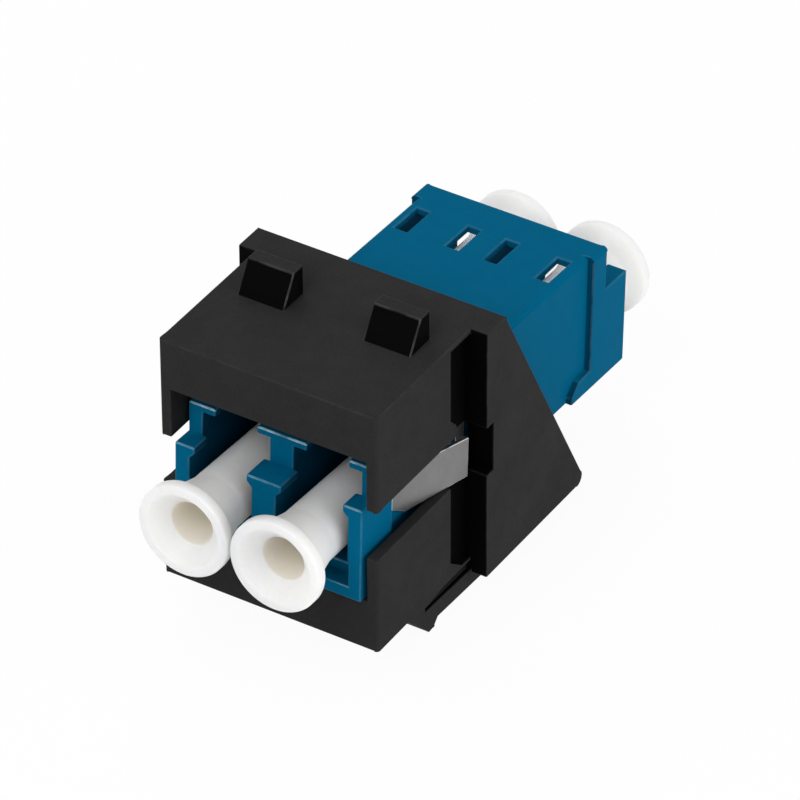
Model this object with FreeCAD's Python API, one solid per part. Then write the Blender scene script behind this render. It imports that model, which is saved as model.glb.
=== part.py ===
"""Duplex LC fibre adapter in a snap-in panel housing, with its four dust caps.

Millimetres. +X is the width, +Y runs from the hooded front to the rear, +Z is up.
The origin is the middle of the panel cut-out, on the flange's front face.
"""
import FreeCAD, Part
import os

Vec = FreeCAD.Vector

# --- snap-in housing: the block that passes through the panel -------------------------
block_width = 14.8
block_height = 16.9
block_depth = 10.25          # from the front face to the flange
side_wall = 0.75
hood_opening_drop = 3.4      # the front opening's top edge, below the block's top
hood_leg_bottom = 1.65       # the side windows' upper edge
window_bottom = -1.75
window_rear = 0.75           # how far the side windows cut into the flange's side plates
edge_round = 0.25

# --- flange, side plates and panel seat ------------------------------------------------
flange_width = 17.06
flange_thickness = 2.12
flange_drop = 0.85           # the side plates reach this far below the block
flange_bar_clearance = 0.1   # the flange's bottom bar, below the block between the plates
plate_thickness = 1.1
plate_rear_top = 2.05        # the side plates' sloping rear edge, at the top
plate_rear_bottom = 11.35    # and at the bottom
plate_corner_radius = 0.6
groove_length = 2.15         # side grooves in front of the flange
groove_depth = 0.4
groove_top_web = 0.35
groove_bottom = 1.2          # above the block's bottom
hood_tab_length = 0.65       # the hood side's lower rear corner stands back into the groove
hood_tab_height = 1.5

# --- fixed teeth on top, latch arm below -----------------------------------------------
tooth_width = 3.2
tooth_offset = 4.3
tooth_height = 1.95
tooth_foot = 4.2             # in front of the flange
tooth_crest = 3.05
tooth_back = 2.05
latch_width = 14.3
latch_root = 4.6             # the slit over the arm starts here, in front of the flange
latch_tail = 10.8            # the arm's free end, behind the flange's front face
latch_thickness = 1.22
latch_roof = 0.65            # the floor is this much thicker over the slit
latch_gap_flange = 1.05      # from the block to the arm, at the flange's front face
hook_start = 6.9             # the hook's ramp leaves the block here
hook_lowest = 3.95           # middle of its flat foot
hook_rear = 3.2
hook_depth = 2.62            # below the block
hook_round = 0.2
latch_foot_length = 1.4      # the arm's free end lies level with the hook's foot

# --- adapter body: two moulded halves that meet at the middle --------------------------
adapter_length = 29.95
adapter_front = -10.4        # the guide frame's front face
adapter_tilt = 2.4           # degrees; the adapter hangs with its rear end slightly down
body_above_axis = 5.66       # the roof, above the fibre axes
body_below_axis = 3.8
axis_height = -1.16          # the fibre axes at the front end, from the cut-out's middle
pocket_headroom = 0.42       # over the roof, where the clip's strap passes the flange
port_pitch = 6.25
body_half_width = 6.0
pad_half_width = 6.4         # raised side pads at both ends
front_pad_length = 3.35      # the front pads end in front of the spring clip
rear_pad_length = 4.05
front_pad_drop = 0.55        # the front pads' top, below the roof; the rear pads are flush
pad_edge_round = 0.3
rail_length = 2.05           # the pad's lower rail, in front of the pad
rail_height = 1.25
roof_setback_front = 1.45
roof_setback_rear = 2.45
guide_top = 2.65             # the guide frame's top, above the fibre axis
body_edge_round = 0.35
front_roof_length = 1.6      # the front half's roof is lower over this first stretch
front_roof_top = 4.7         # its top, above the fibre axis
front_roof_thickness = 0.5
port_width = 4.6
port_below_axis = 2.3
port_depth = 13.2
head_width = 0.35            # the guide frame's heads reach this far over the port
head_chamfer_bottom = 1.85   # above the fibre axis
divider_reach = 0.5          # the wall between the front ports stands this far forward
latch_room_top = 0.55        # roof thickness over the latch room
latch_slot_width = 2.85
latch_slot_length = 1.3
front_recess_depth = 1.2
front_recess_below_axis = 2.95
window_width = 0.9
window_length = 2.6
window_offset = 1.8          # each pair of roof windows stands this far off its fibre axis
window_from_roof_end = 3.9
window_depth = 1.6

# --- sleeve holders and ceramic sleeves ------------------------------------------------
holder_radius = 1.5
holder_bore_radius = 0.86
holder_reach = 4.9           # from the middle
holder_mouth_radius = 0.66
sleeve_radius = 0.81
sleeve_bore_radius = 0.623
sleeve_length = 6.8
sleeve_slit = 0.35

# --- spring clip -----------------------------------------------------------------------
clip_thickness = 0.28
clip_front = -6.95
clip_rear = 0.95
clip_corner = 0.8            # the front leg's lower corner is cut off by this much
clip_gap = 0.02
wing_root = -6.3
wing_end = -0.65
wing_top = 1.75              # at its root
wing_tip_top = 1.48
wing_bottom = -1.28
wing_reach = 7.62            # the wing's free end, from the middle

# --- dust caps -------------------------------------------------------------------------
cap_disc_radius = 3.03
cap_disc_thickness = 0.75
cap_stub_radius = 2.3        # behind the disc; the stub narrows to the port's mouth
cap_mouth_radius = 1.9
cap_tip_radius = 1.8
cap_length = 12.4
cap_stand_front = 4.2        # how far the front caps stand out of their ports
cap_stand_rear = 3.4
cap_funnel_radius = 2.45
cap_funnel_depth = 1.05
cap_bore_radius = 1.4
cap_bore_depth = 8.5
cap_cone_length = 0.7
cap_tip_chamfer = 0.4

half_width = block_width / 2
block_top = block_height / 2
block_bottom = -block_top
front_face = -block_depth
pocket_half_width = half_width - side_wall
adapter_rear = adapter_front + adapter_length
adapter_middle = (adapter_front + adapter_rear) / 2
adapter_bottom = axis_height - body_below_axis
adapter_top = axis_height + body_above_axis
roof_front = adapter_front + roof_setback_front
roof_rear = adapter_rear - roof_setback_rear
port_axes = (-port_pitch / 2, port_pitch / 2)


def box(x0, x1, y0, y1, z0, z1):
    """A block between two corners."""
    return Part.makeBox(x1 - x0, y1 - y0, z1 - z0, Vec(x0, y0, z0))


def rod(radius, y0, y1, x=0.0, z=axis_height):
    """A cylinder along Y."""
    return Part.makeCylinder(radius, y1 - y0, Vec(x, y0, z), Vec(0, 1, 0))


def profile(points, x0, x1):
    """A polygon of (y, z) points, extruded along X."""
    corners = [Vec(x0, y, z) for y, z in points]
    face = Part.Face(Part.makePolygon(corners + corners[:1]))
    return face.extrude(Vec(x1 - x0, 0, 0))


def section(points, y0, y1):
    """A polygon of (x, z) points, extruded along Y."""
    corners = [Vec(x, y0, z) for x, z in points]
    face = Part.Face(Part.makePolygon(corners + corners[:1]))
    return face.extrude(Vec(0, y1 - y0, 0))


def rounded(shape, radius, chosen):
    """Round the edges that the test picks by their middle point and length."""
    edges = []
    for edge in shape.Edges:
        box_of_edge = edge.BoundBox
        if chosen(box_of_edge.Center, edge):
            edges.append(edge)
    return shape.makeFillet(radius, edges)


def along(edge, axis):
    """True for a straight edge that runs along the given axis."""
    direction = edge.Vertexes[-1].Point.sub(edge.Vertexes[0].Point)
    return direction.Length > 0 and abs(direction.normalize().dot(axis)) > 0.999


def mirrored(shape):
    """The same shape on the other side of the middle plane."""
    return shape.mirror(Vec(0, 0, 0), Vec(1, 0, 0))


def hung(shape):
    """A shape of the adapter's own straight frame, turned to hang as it does in its pocket."""
    placed = shape.copy()
    placed.rotate(Vec(0, adapter_front, axis_height), Vec(1, 0, 0), -adapter_tilt)
    return placed


def block():
    """The outer block, with its upright and top front edges eased."""
    body = box(-half_width, half_width, front_face, flange_thickness, block_bottom, block_top)

    def front_edges(middle, edge):
        upright = abs(abs(middle.x) - half_width) < 0.01 and along(edge, Vec(0, 0, 1))
        return abs(middle.y - front_face) < 0.01 and upright

    return rounded(body, edge_round, front_edges)


def flange():
    """The plate behind the panel, with a shorter bar under the block."""
    bar_bottom = block_bottom - flange_bar_clearance
    half = flange_width / 2
    return box(-half, half, 0, flange_thickness, bar_bottom, block_top)


def side_plate():
    """The right side plate: its rear edge slopes back to a rounded bottom corner."""
    bottom = block_bottom - flange_drop
    half = flange_width / 2
    points = [(0, bottom), (0, block_top), (plate_rear_top, block_top), (plate_rear_bottom, bottom)]
    plate = profile(points, half - plate_thickness, half)

    def rear_corner(middle, edge):
        return abs(middle.y - plate_rear_bottom) < 0.01 and along(edge, Vec(1, 0, 0))

    return rounded(plate, plate_corner_radius, rear_corner)


def pocket():
    """The room for the adapter, higher under the hood than through the flange."""
    ceiling = block_top - hood_opening_drop
    room = box(-pocket_half_width, pocket_half_width, front_face - 1, 0, 0, ceiling)
    through = box(-pocket_half_width, pocket_half_width, front_face - 2, flange_thickness + 2,
                  adapter_bottom, adapter_top + pocket_headroom)
    under_hood = box(-half_width, half_width, front_face - 2, flange_thickness + 2,
                     block_bottom, ceiling)
    return room.fuse(hung(through).common(under_hood))


def side_window():
    """The window that the right clip wing springs into, open at the front."""
    outer = flange_width / 2 + 1
    return box(pocket_half_width - 1, outer, front_face - 1, window_rear,
               window_bottom, hood_leg_bottom)


def side_groove():
    """The right panel groove, with the hood side's small tab left standing in it."""
    bottom = block_bottom + groove_bottom
    top = block_top - groove_top_web
    tab_top = hood_leg_bottom + hood_tab_height
    tab_shoulder = tab_top - hood_tab_length
    points = [
        (-groove_length, bottom), (-groove_length, window_bottom),
        (-groove_length + hood_tab_length, window_bottom),
        (-groove_length + hood_tab_length, tab_shoulder),
        (-groove_length, tab_top), (-groove_length, top), (0, top), (0, bottom)]
    return profile(points, half_width - groove_depth, half_width + 1)


def tooth(x):
    """A fixed tooth that the panel's upper edge sits behind."""
    points = [
        (-tooth_foot, block_top - 0.2), (-tooth_foot, block_top),
        (-tooth_crest, block_top + tooth_height), (-tooth_back, block_top + tooth_height),
        (-tooth_back, block_top - 0.2)]
    return profile(points, x - tooth_width / 2, x + tooth_width / 2)


def latch_arm():
    """The springy arm under the block, with its hook and the thicker floor over its slit."""
    half = latch_width / 2
    foot_start = latch_tail - latch_foot_length
    fall = (hook_depth - latch_gap_flange - latch_thickness) / foot_start

    def top_at(y):
        return block_bottom - latch_gap_flange - fall * min(y, foot_start)

    def underside(y):
        return top_at(y) - latch_thickness

    hook_bottom = block_bottom - hook_depth
    points = [
        (-hook_start, block_bottom + 0.2), (-hook_start, block_bottom),
        (-hook_lowest - 0.3, hook_bottom), (-hook_lowest + 0.3, hook_bottom),
        (-hook_rear, underside(-hook_rear)), (foot_start, hook_bottom),
        (latch_tail, hook_bottom), (latch_tail, top_at(latch_tail)),
        (foot_start, top_at(foot_start)), (-latch_root, top_at(-latch_root)),
        (-latch_root, block_bottom + 0.2)]
    arm = profile(points, -half, half)

    def hook_edges(middle, edge):
        on_foot = abs(middle.z - hook_bottom) < 0.01 and middle.y < 0
        return on_foot and along(edge, Vec(1, 0, 0))

    arm = rounded(arm, hook_round, hook_edges)
    roof = box(-half, half, -latch_root - 0.2, 0, block_bottom - latch_roof, block_bottom + 0.2)
    return arm.fuse(roof).removeSplitter()


def snap_in_housing():
    """The black moulding that carries the adapter and snaps into the panel."""
    plate = side_plate()
    teeth = [tooth(-tooth_offset), tooth(tooth_offset)]
    body = block().fuse([flange(), plate, mirrored(plate), latch_arm()] + teeth)
    window = side_window()
    groove = side_groove()
    body = body.cut([pocket(), window, mirrored(window), groove, mirrored(groove)])
    return body.removeSplitter()


def side_pad(y_end, inward, length, top_drop):
    """The right raised pad at one end, with its lower rail towards the middle."""
    pad_line = y_end + inward * length
    rail_line = pad_line + inward * rail_length
    top = adapter_top - top_drop
    rail_top = adapter_bottom + rail_height
    points = [
        (y_end, adapter_bottom), (y_end, top), (pad_line, top), (pad_line, rail_top + 0.15),
        (pad_line + inward * (rail_length - 0.75), rail_top), (rail_line, adapter_bottom + 0.5),
        (rail_line, adapter_bottom)]
    pad = profile(points, body_half_width - 0.5, pad_half_width)

    def outer_top_edge(middle, edge):
        at_corner = middle.z > top - 0.01 and middle.x > pad_half_width - 0.01
        return at_corner and along(edge, Vec(0, 1, 0))

    return rounded(pad, pad_edge_round, outer_top_edge)


def body_outline(y0, y1):
    """The body's bar between two stations, with its long top edges eased."""
    bar = box(-body_half_width, body_half_width, y0, y1, adapter_bottom, adapter_top)

    def top_edges(middle, edge):
        return abs(middle.z - adapter_top) < 0.01 and along(edge, Vec(0, 1, 0))

    return rounded(bar, body_edge_round, top_edges)


def setback_cut(y_end, inward, setback):
    """What is cut off above the guide frame at one end."""
    y0, y1 = sorted((y_end - inward, y_end + inward * setback))
    return box(-8, 8, y0, y1, axis_height + guide_top, adapter_top + 1)


def port_mouth(x, y0, y1):
    """A port's mouth: the full width below, narrower between the guide frame's heads."""
    wide = port_width / 2
    narrow = wide - head_width
    floor = axis_height - port_below_axis
    chamfer = axis_height + head_chamfer_bottom
    top = axis_height + guide_top + 0.5
    right = [(wide, floor), (wide, chamfer), (narrow, chamfer + head_width), (narrow, top)]
    left = [(-across, height) for across, height in reversed(right)]
    return section([(x + across, height) for across, height in right + left], y0, y1)


def port_cuts(x, y_end, inward, roof_end, front):
    """The room inside one port: mouth, latch room, front recess, latch slot, roof windows."""
    def stations(near, far):
        return sorted((y_end + inward * near, y_end + inward * far))

    setback = abs(roof_end - y_end)
    half = port_width / 2
    y0, y1 = stations(-1, setback)
    cuts = [port_mouth(x, y0, y1)]
    y0, y1 = stations(setback, port_depth)
    cuts.append(box(x - half, x + half, y0, y1, axis_height - port_below_axis, axis_height + 3))
    y0, y1 = stations(setback + (front_roof_length if front else 0), port_depth)
    cuts.append(box(x - half, x + half, y0, y1, axis_height, adapter_top - latch_room_top))
    if front:
        y0, y1 = stations(setback, setback + front_roof_length + 0.1)
        room_top = axis_height + front_roof_top - front_roof_thickness
        cuts.append(box(x - half, x + half, y0, y1, axis_height, room_top))
        y0, y1 = stations(setback - 0.1, setback + latch_slot_length)
        slot = latch_slot_width / 2
        cuts.append(box(x - slot, x + slot, y0, y1, axis_height + 2, adapter_top + 1))
    y0, y1 = stations(-1, front_recess_depth)
    half = port_width / 2 + 0.1
    recess_floor = axis_height - front_recess_below_axis
    cuts.append(box(x - half, x + half, y0, y1, recess_floor, axis_height - 1.2))
    window_middle = roof_end + inward * window_from_roof_end
    for side in (-window_offset, window_offset):
        cuts.append(box(x + side - window_width / 2, x + side + window_width / 2,
                        window_middle - window_length / 2, window_middle + window_length / 2,
                        adapter_top - window_depth, adapter_top + 1))
    return cuts


def divider():
    """The front end of the wall between the two ports, with its wider head."""
    lower = port_pitch / 2 - port_width / 2
    upper = lower + head_width
    floor = axis_height - front_recess_below_axis
    chamfer = axis_height + head_chamfer_bottom
    top = axis_height + guide_top
    right = [(lower, floor), (lower, chamfer), (upper, chamfer + head_width), (upper, top)]
    left = [(-across, height) for across, height in reversed(right)]
    return section(right + left, adapter_front - divider_reach, adapter_front + 1)


def holder(x, y_from, y_to):
    """The sleeve holder's solid tube between the port floor and its mouth."""
    y0, y1 = sorted((y_from, y_to))
    return rod(holder_radius, y0, y1, x)


def holder_bores(x):
    """The sleeve's room, and the two narrower mouths that keep the sleeve in."""
    half = sleeve_length / 2 + 0.1
    room = rod(holder_bore_radius, adapter_middle - half, adapter_middle + half, x)
    mouths = rod(holder_mouth_radius, adapter_middle - 8, adapter_middle + 8, x)
    return [room, mouths]


def adapter_half(y_end, inward, roof_end, setback, pad_length, front):
    """One moulded half of the adapter, from its port end to the middle."""
    y0, y1 = sorted((y_end, adapter_middle))
    pad = side_pad(y_end, inward, pad_length, front_pad_drop if front else 0)
    body = body_outline(y0, y1).fuse([pad, mirrored(pad)])
    cuts = [setback_cut(y_end, inward, setback)]
    for x in port_axes:
        cuts += port_cuts(x, y_end, inward, roof_end, front)
    if front:
        low_end = roof_end + front_roof_length
        low_top = axis_height + front_roof_top
        cuts.append(box(-8, 8, roof_end - 1, low_end, low_top, adapter_top + 1))
    body = body.cut(cuts)
    if front:
        body = body.fuse(divider())
    floor = y_end + inward * port_depth
    holders = [holder(x, floor, adapter_middle - inward * holder_reach) for x in port_axes]
    body = body.fuse(holders)
    bores = []
    for x in port_axes:
        bores += holder_bores(x)
    return body.cut(bores).removeSplitter()


def split_sleeve(x):
    """A ceramic sleeve with one slit along it, which lines the two ferrules up."""
    y0 = adapter_middle - sleeve_length / 2
    y1 = adapter_middle + sleeve_length / 2
    tube = rod(sleeve_radius, y0, y1, x).cut(rod(sleeve_bore_radius, y0, y1, x))
    slit = box(x - sleeve_slit / 2, x + sleeve_slit / 2, y0, y1, axis_height, axis_height + 1)
    return tube.cut(slit)


def clip_wing():
    """The right wing: it leaves the strap at the front and springs out to the rear."""
    inner = body_half_width + clip_gap
    outer = inner + clip_thickness
    corners = [
        Vec(inner, wing_root - 0.6, 0), Vec(outer, wing_root - 0.6, 0), Vec(outer, wing_root, 0),
        Vec(wing_reach, wing_end, 0), Vec(wing_reach - clip_thickness, wing_end, 0),
        Vec(inner, wing_root, 0)]
    face = Part.Face(Part.makePolygon(corners + corners[:1]))
    wing = face.extrude(Vec(0, 0, wing_top - wing_bottom))
    wing.translate(Vec(0, 0, wing_bottom))
    above = profile([(wing_root, wing_top), (wing_end, wing_tip_top),
                     (wing_end + 0.1, wing_tip_top), (wing_end + 0.1, wing_top + 0.1),
                     (wing_root, wing_top + 0.1)], inner - 1, wing_reach + 1)
    return wing.cut(above)


def spring_clip():
    """The stainless strap over the roof and down both sides, with its two wings."""
    inner = body_half_width + clip_gap
    outer = inner + clip_thickness
    top = adapter_top + clip_gap
    strap = box(-outer, outer, clip_front, clip_rear, wing_bottom, top + clip_thickness)

    def shoulders(middle, edge):
        return middle.z > top and abs(middle.x) > inner and along(edge, Vec(0, 1, 0))

    strap = rounded(strap, body_edge_round + clip_thickness, shoulders)
    room = box(-inner, inner, clip_front - 1, clip_rear + 1, wing_bottom - 1, top)

    def inner_shoulders(middle, edge):
        return abs(middle.z - top) < 0.01 and along(edge, Vec(0, 1, 0))

    room = rounded(room, body_edge_round, inner_shoulders)
    gap = box(inner - 1, outer + 1, wing_root, clip_rear - 0.9, wing_bottom - 1, wing_top + 0.25)
    strap = strap.cut([room, gap, mirrored(gap)])
    wing = clip_wing()
    clip = strap.fuse([wing, mirrored(wing)])
    corner = profile([(clip_front - 0.1, wing_bottom - 0.1),
                      (clip_front - 0.1, wing_bottom + clip_corner),
                      (wing_root + clip_corner, wing_bottom - 0.1)], -8, 8)
    return clip.cut(corner).removeSplitter()


def dust_cap(x, y_end, inward, stand_out):
    """A dust cap: funnel face, blind bore, thin disc and the stub that fills the port."""
    face = y_end - inward * stand_out
    turn = 1 if inward > 0 else -1

    def at(depth):
        return face + turn * depth

    outline = [
        (0, at(cap_bore_depth)), (cap_bore_radius, at(cap_bore_depth)),
        (cap_bore_radius, at(cap_funnel_depth)), (cap_funnel_radius, at(0)),
        (cap_disc_radius, at(0)), (cap_disc_radius, at(cap_disc_thickness)),
        (cap_stub_radius, at(cap_disc_thickness + cap_cone_length)),
        (cap_mouth_radius, at(cap_stand_rear)),
        (cap_tip_radius, at(cap_length - cap_tip_chamfer)),
        (cap_tip_radius - cap_tip_chamfer, at(cap_length)), (0, at(cap_length))]
    corners = [Vec(x + radius, y, axis_height) for radius, y in outline]
    profile_face = Part.Face(Part.makePolygon(corners + corners[:1]))
    cap = profile_face.revolve(Vec(x, 0, axis_height), Vec(0, 1, 0), 360)
    return cap


def parts():
    """Every node of the model, by name."""
    nodes = {
        "snap_in_housing": snap_in_housing(),
        "adapter_front_half": hung(adapter_half(
            adapter_front, 1, roof_front, roof_setback_front, front_pad_length, True)),
        "adapter_rear_half": hung(adapter_half(
            adapter_rear, -1, roof_rear, roof_setback_rear, rear_pad_length, False)),
        "spring_clip": hung(spring_clip()),
    }
    for side, x in zip(("left", "right"), port_axes):
        nodes["split_sleeve_" + side] = hung(split_sleeve(x))
        nodes["front_dust_cap_" + side] = hung(dust_cap(x, adapter_front, 1, cap_stand_front))
        nodes["rear_dust_cap_" + side] = hung(dust_cap(x, adapter_rear, -1, cap_stand_rear))
    return nodes


os.makedirs("parts", exist_ok=True)
for name, shape in parts().items():
    shape.exportStep("parts/" + name + ".step")
    size = shape.BoundBox
    print(name, "valid" if shape.isValid() else "INVALID", "solids", len(shape.Solids),
          "volume %.1f" % shape.Volume,
          "box %.2f..%.2f %.2f..%.2f %.2f..%.2f" % (
              size.XMin, size.XMax, size.YMin, size.YMax, size.ZMin, size.ZMax))
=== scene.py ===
"""Duplex fibre adapter in a snap-in panel housing: the dressed model on its CAD frame."""

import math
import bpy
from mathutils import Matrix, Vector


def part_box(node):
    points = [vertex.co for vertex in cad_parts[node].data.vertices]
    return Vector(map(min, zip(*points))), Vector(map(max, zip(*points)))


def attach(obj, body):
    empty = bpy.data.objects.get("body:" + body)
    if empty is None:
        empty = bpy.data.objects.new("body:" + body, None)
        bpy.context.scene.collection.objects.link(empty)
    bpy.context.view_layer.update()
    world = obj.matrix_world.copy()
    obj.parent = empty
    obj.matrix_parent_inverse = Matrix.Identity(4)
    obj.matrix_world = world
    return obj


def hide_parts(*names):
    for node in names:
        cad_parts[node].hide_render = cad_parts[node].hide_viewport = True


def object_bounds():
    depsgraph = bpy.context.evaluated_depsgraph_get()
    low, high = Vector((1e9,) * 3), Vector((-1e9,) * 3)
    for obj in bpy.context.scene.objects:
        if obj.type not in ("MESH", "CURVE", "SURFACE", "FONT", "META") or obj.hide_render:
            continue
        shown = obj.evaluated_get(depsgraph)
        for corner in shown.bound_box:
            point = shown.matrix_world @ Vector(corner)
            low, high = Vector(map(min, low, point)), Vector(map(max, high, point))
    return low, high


bl_info = {
    "name": "Duplex Fibre Adapter",
    "version": (1, 0, 0),
    "blender": (4, 5, 0),
    "location": "View3D > Sidebar > Fibre Adapter",
    "description": "Builds a duplex fibre adapter with its snap-in housing and dust caps",
    "category": "Object",
}

import bmesh
import bpy
from bpy.props import FloatProperty, FloatVectorProperty, IntProperty, PointerProperty
from mathutils import Matrix, Vector

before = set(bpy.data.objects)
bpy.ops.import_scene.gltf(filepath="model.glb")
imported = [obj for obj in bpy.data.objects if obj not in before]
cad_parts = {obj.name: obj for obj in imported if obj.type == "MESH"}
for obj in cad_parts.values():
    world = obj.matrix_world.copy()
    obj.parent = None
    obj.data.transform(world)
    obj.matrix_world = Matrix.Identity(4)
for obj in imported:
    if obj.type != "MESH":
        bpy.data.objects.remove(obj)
cad_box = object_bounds()

MM = 0.001
housing_low, housing_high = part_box("snap_in_housing")
front_low, front_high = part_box("adapter_front_half")

# How the merged copies of the CAD nodes are rounded and shaded.
MERGE_DISTANCE = 0.0005 * MM
FLAT_ANGLE = math.radians(0.5)      # faces closer to one plane than this are joined
ROUNDED_ANGLE = math.radians(40)    # outer edges sharper than this are rounded
ROUNDED_LENGTH = 0.2 * MM           # and only if they are longer than this
CRISP_ANGLE = math.radians(38)      # edges sharper than this are shaded as creases
CAP_CRISP_ANGLE = math.radians(50)
BLUE_EDGE_HIGHLIGHT = 0.06               # how strongly the painted highlight shows on the blue halves' plain edges

# Where the housing's and the front half's features lie.
SLOPE_LENGTH = 0.9 * MM             # of the side grooves' floors, before the flange
SLOPE_FALL = 0.95 * MM
TOOTH_BASE = housing_high.z - 1.96 * MM
TOOTH_SIDE_BASE = housing_high.z - 1.90 * MM
SLIT_FLOOR = housing_low.z + 1.2 * MM
SLIT_ROOF = housing_low.z + 2.3 * MM
GUIDE_FRAME_END = front_low.y + 3.2 * MM
PORT_MOUTH_END = front_low.y + 1.1 * MM
ROOF_BAR_BASE = front_high.z - 1.4 * MM

# The stage: each lamp's offset from the part's middle, and the width of its square.
KEY_LAMP = ((-0.19, 0.21, 0.29), 0.22)
SIDE_LAMP = ((0.38, 0.02, 0.10), 0.25)
FRONT_LAMP = ((-0.03, -0.30, 0.30), 0.25)
FLOOR_REACH = 1.5                   # from the middle to the floor's sides
FLOOR_GAP = 0.01 * MM


# ---------------------------------------------------------------- settings

def length(name, description, millimetres):
    """A size the user can change, in metres, given here in millimetres."""
    return FloatProperty(name=name, description=description, default=millimetres * MM,
                         min=0.0, subtype="DISTANCE", unit="LENGTH", precision=5)


def colour(name, description, rgb):
    """A colour the user can change."""
    return FloatVectorProperty(name=name, description=description, default=(*rgb, 1.0),
                               size=4, min=0.0, max=1.0, subtype="COLOR")


def share(name, description, value):
    """A plain share from 0 to 1."""
    return FloatProperty(name=name, description=description, default=value,
                         min=0.0, max=1.0, subtype="FACTOR")


class HousingSettings(bpy.types.PropertyGroup):
    """The black snap-in housing."""
    edge_width: length("Edge Width", "Width of the worn round along the outer edges", 0.09)
    plastic: colour("Plastic", "Moulded plastic of the housing", (0.0245, 0.0245, 0.0248))
    # Near-black painted shade for the teeth's steep sides, the side grooves and the slit, which
    # lie in shadow.
    core: colour("Painted Shade", "Painted shade on faces that the light hardly reaches",
                 (0.0012, 0.0012, 0.0012))
    # Lighter edge colour: rub plus painted highlight along the rounded edges.
    edge: colour("Edges", "Rubbed edges with painted highlight", (0.110, 0.110, 0.112))
    grain_size: length("Grain Size", "Distance between the bumps of the mould's texture", 0.16)
    grain_depth: length("Grain Depth", "Height of the mould's texture", 0.010)
    roughness: share("Roughness", "Roughness of the matt plastic", 0.62)


class AdapterSettings(bpy.types.PropertyGroup):
    """The two blue halves of the adapter."""
    edge_width: length("Edge Width", "Width of the round along the moulded edges", 0.10)
    plastic: colour("Plastic", "Blue moulded plastic", (0.0005, 0.110, 0.218))
    # Darker blue painted shade for the ports' side walls and the steps in front of the side
    # pads.
    core: colour("Painted Shade", "Painted shade on faces that the light hardly reaches",
                 (0.0003, 0.050, 0.104))
    # Pale cyan edge colour: painted highlight along the rounded edges.
    edge: colour("Edges", "Painted highlight along the rounded edges", (0.500, 0.720, 0.820))
    grain_size: length("Grain Size", "Distance between the bumps of the mould's texture", 0.11)
    grain_depth: length("Grain Depth", "Height of the mould's texture", 0.004)
    roughness: share("Roughness", "Roughness of the satin plastic", 0.42)


class ClipSettings(bpy.types.PropertyGroup):
    """The spring clip."""
    edge_width: length("Edge Width", "Width of the round along the sheared edges", 0.05)
    steel: colour("Steel", "Rolled spring steel", (0.19, 0.19, 0.19))
    # Near-white edge colour: bright sheared steel plus painted highlight.
    edge: colour("Edges", "Bright sheared edges with painted highlight", (0.90, 0.91, 0.92))
    roughness: share("Roughness", "Roughness across the rolled grain", 0.36)


class CapSettings(bpy.types.PropertyGroup):
    """The four dust caps, each pointing along its port."""
    tilt: FloatProperty(name="Tilt", description="How far the ports' rear ends hang down",
                        default=math.radians(2.4), subtype="ANGLE", unit="ROTATION")
    disc_radius: length("Disc Radius", "Radius of the cap's rim", 3.03)
    disc_thickness: length("Disc Thickness", "Thickness of the rim", 0.75)
    neck_radius: length("Neck Radius", "Radius of the stub behind the rim", 2.3)
    cone_length: length("Cone Length", "Length of the cone from the rim to the neck", 0.7)
    mouth_radius: length("Mouth Radius", "Radius of the stub where it enters the port", 1.9)
    mouth_depth: length("Mouth Depth", "Distance from the rim's face to there", 3.4)
    tip_radius: length("Tip Radius", "Radius of the stub at its far end", 1.8)
    tip_chamfer: length("Tip Chamfer", "Chamfer at the far end", 0.4)
    whole_length: length("Length", "Length of the cap", 12.4)
    funnel_radius: length("Funnel Radius", "Radius of the funnel in the rim's face", 2.45)
    funnel_depth: length("Funnel Depth", "Depth of the funnel", 1.05)
    bore_radius: length("Bore Radius", "Radius of the blind bore", 1.4)
    bore_depth: length("Bore Depth", "Depth of the blind bore", 8.5)
    edge_round: length("Edge Round", "Radius of the rounded edges", 0.13)
    segments: IntProperty(name="Segments", description="Faces round each cap",
                          default=96, min=12, max=256)
    plastic: colour("Plastic", "Soft white plastic", (0.88, 0.87, 0.85))
    # Darker, warmer painted shade down in the bore, tinted for the light that passes through
    # the plastic.
    painted_bore_shade: colour("Bore", "Painted shade down in the bore, warmed where light passes through the plastic",
                 (0.81, 0.67, 0.47))
    roughness: share("Roughness", "Roughness of the soft plastic", 0.45)


class SleeveSettings(bpy.types.PropertyGroup):
    """The two split sleeves inside."""
    ceramic: colour("Ceramic", "Fired white ceramic", (0.78, 0.77, 0.73))
    roughness: share("Roughness", "Roughness of the ground surface", 0.16)


class StageSettings(bpy.types.PropertyGroup):
    """Floor, light and camera."""
    floor: colour("Floor", "Pale floor and surroundings", (0.93, 0.93, 0.93))
    white_mix: share("White Mix", "How much of the floor shows as plain white", 0.95)
    ambient: FloatProperty(name="Ambient", description="Strength of the even light all round",
                           default=0.45, min=0.0)
    key_power: FloatProperty(name="Key Light", description="Power of the lamp behind and left",
                             default=0.37, min=0.0, unit="POWER")
    side_power: FloatProperty(name="Side Light", description="Power of the lamp on the right",
                              default=0.68, min=0.0, unit="POWER")
    front_power: FloatProperty(name="Front Light", description="Power of the lamp in front",
                               default=0.80, min=0.0, unit="POWER")
    azimuth: FloatProperty(name="Camera Azimuth", description="Turn of the camera to the right",
                           default=math.radians(32.051), subtype="ANGLE", unit="ROTATION")
    elevation: FloatProperty(name="Camera Elevation", description="Height of the camera",
                             default=math.radians(36.688), subtype="ANGLE", unit="ROTATION")
    roll: FloatProperty(name="Camera Roll", description="Roll of the camera",
                        default=math.radians(-0.28), subtype="ANGLE", unit="ROTATION")
    aim: FloatVectorProperty(name="Camera Aim", description="Point the camera looks at",
                             default=(1.9175 * MM, 1.0331 * MM, 0.5438 * MM),
                             size=3, subtype="TRANSLATION", unit="LENGTH", precision=5)
    distance: length("Camera Distance", "From the aim to the camera", 422.392)
    lens: FloatProperty(name="Lens", description="Focal length in millimetres",
                        default=324.44, min=1.0)


# ---------------------------------------------------------------- shader node groups

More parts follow.
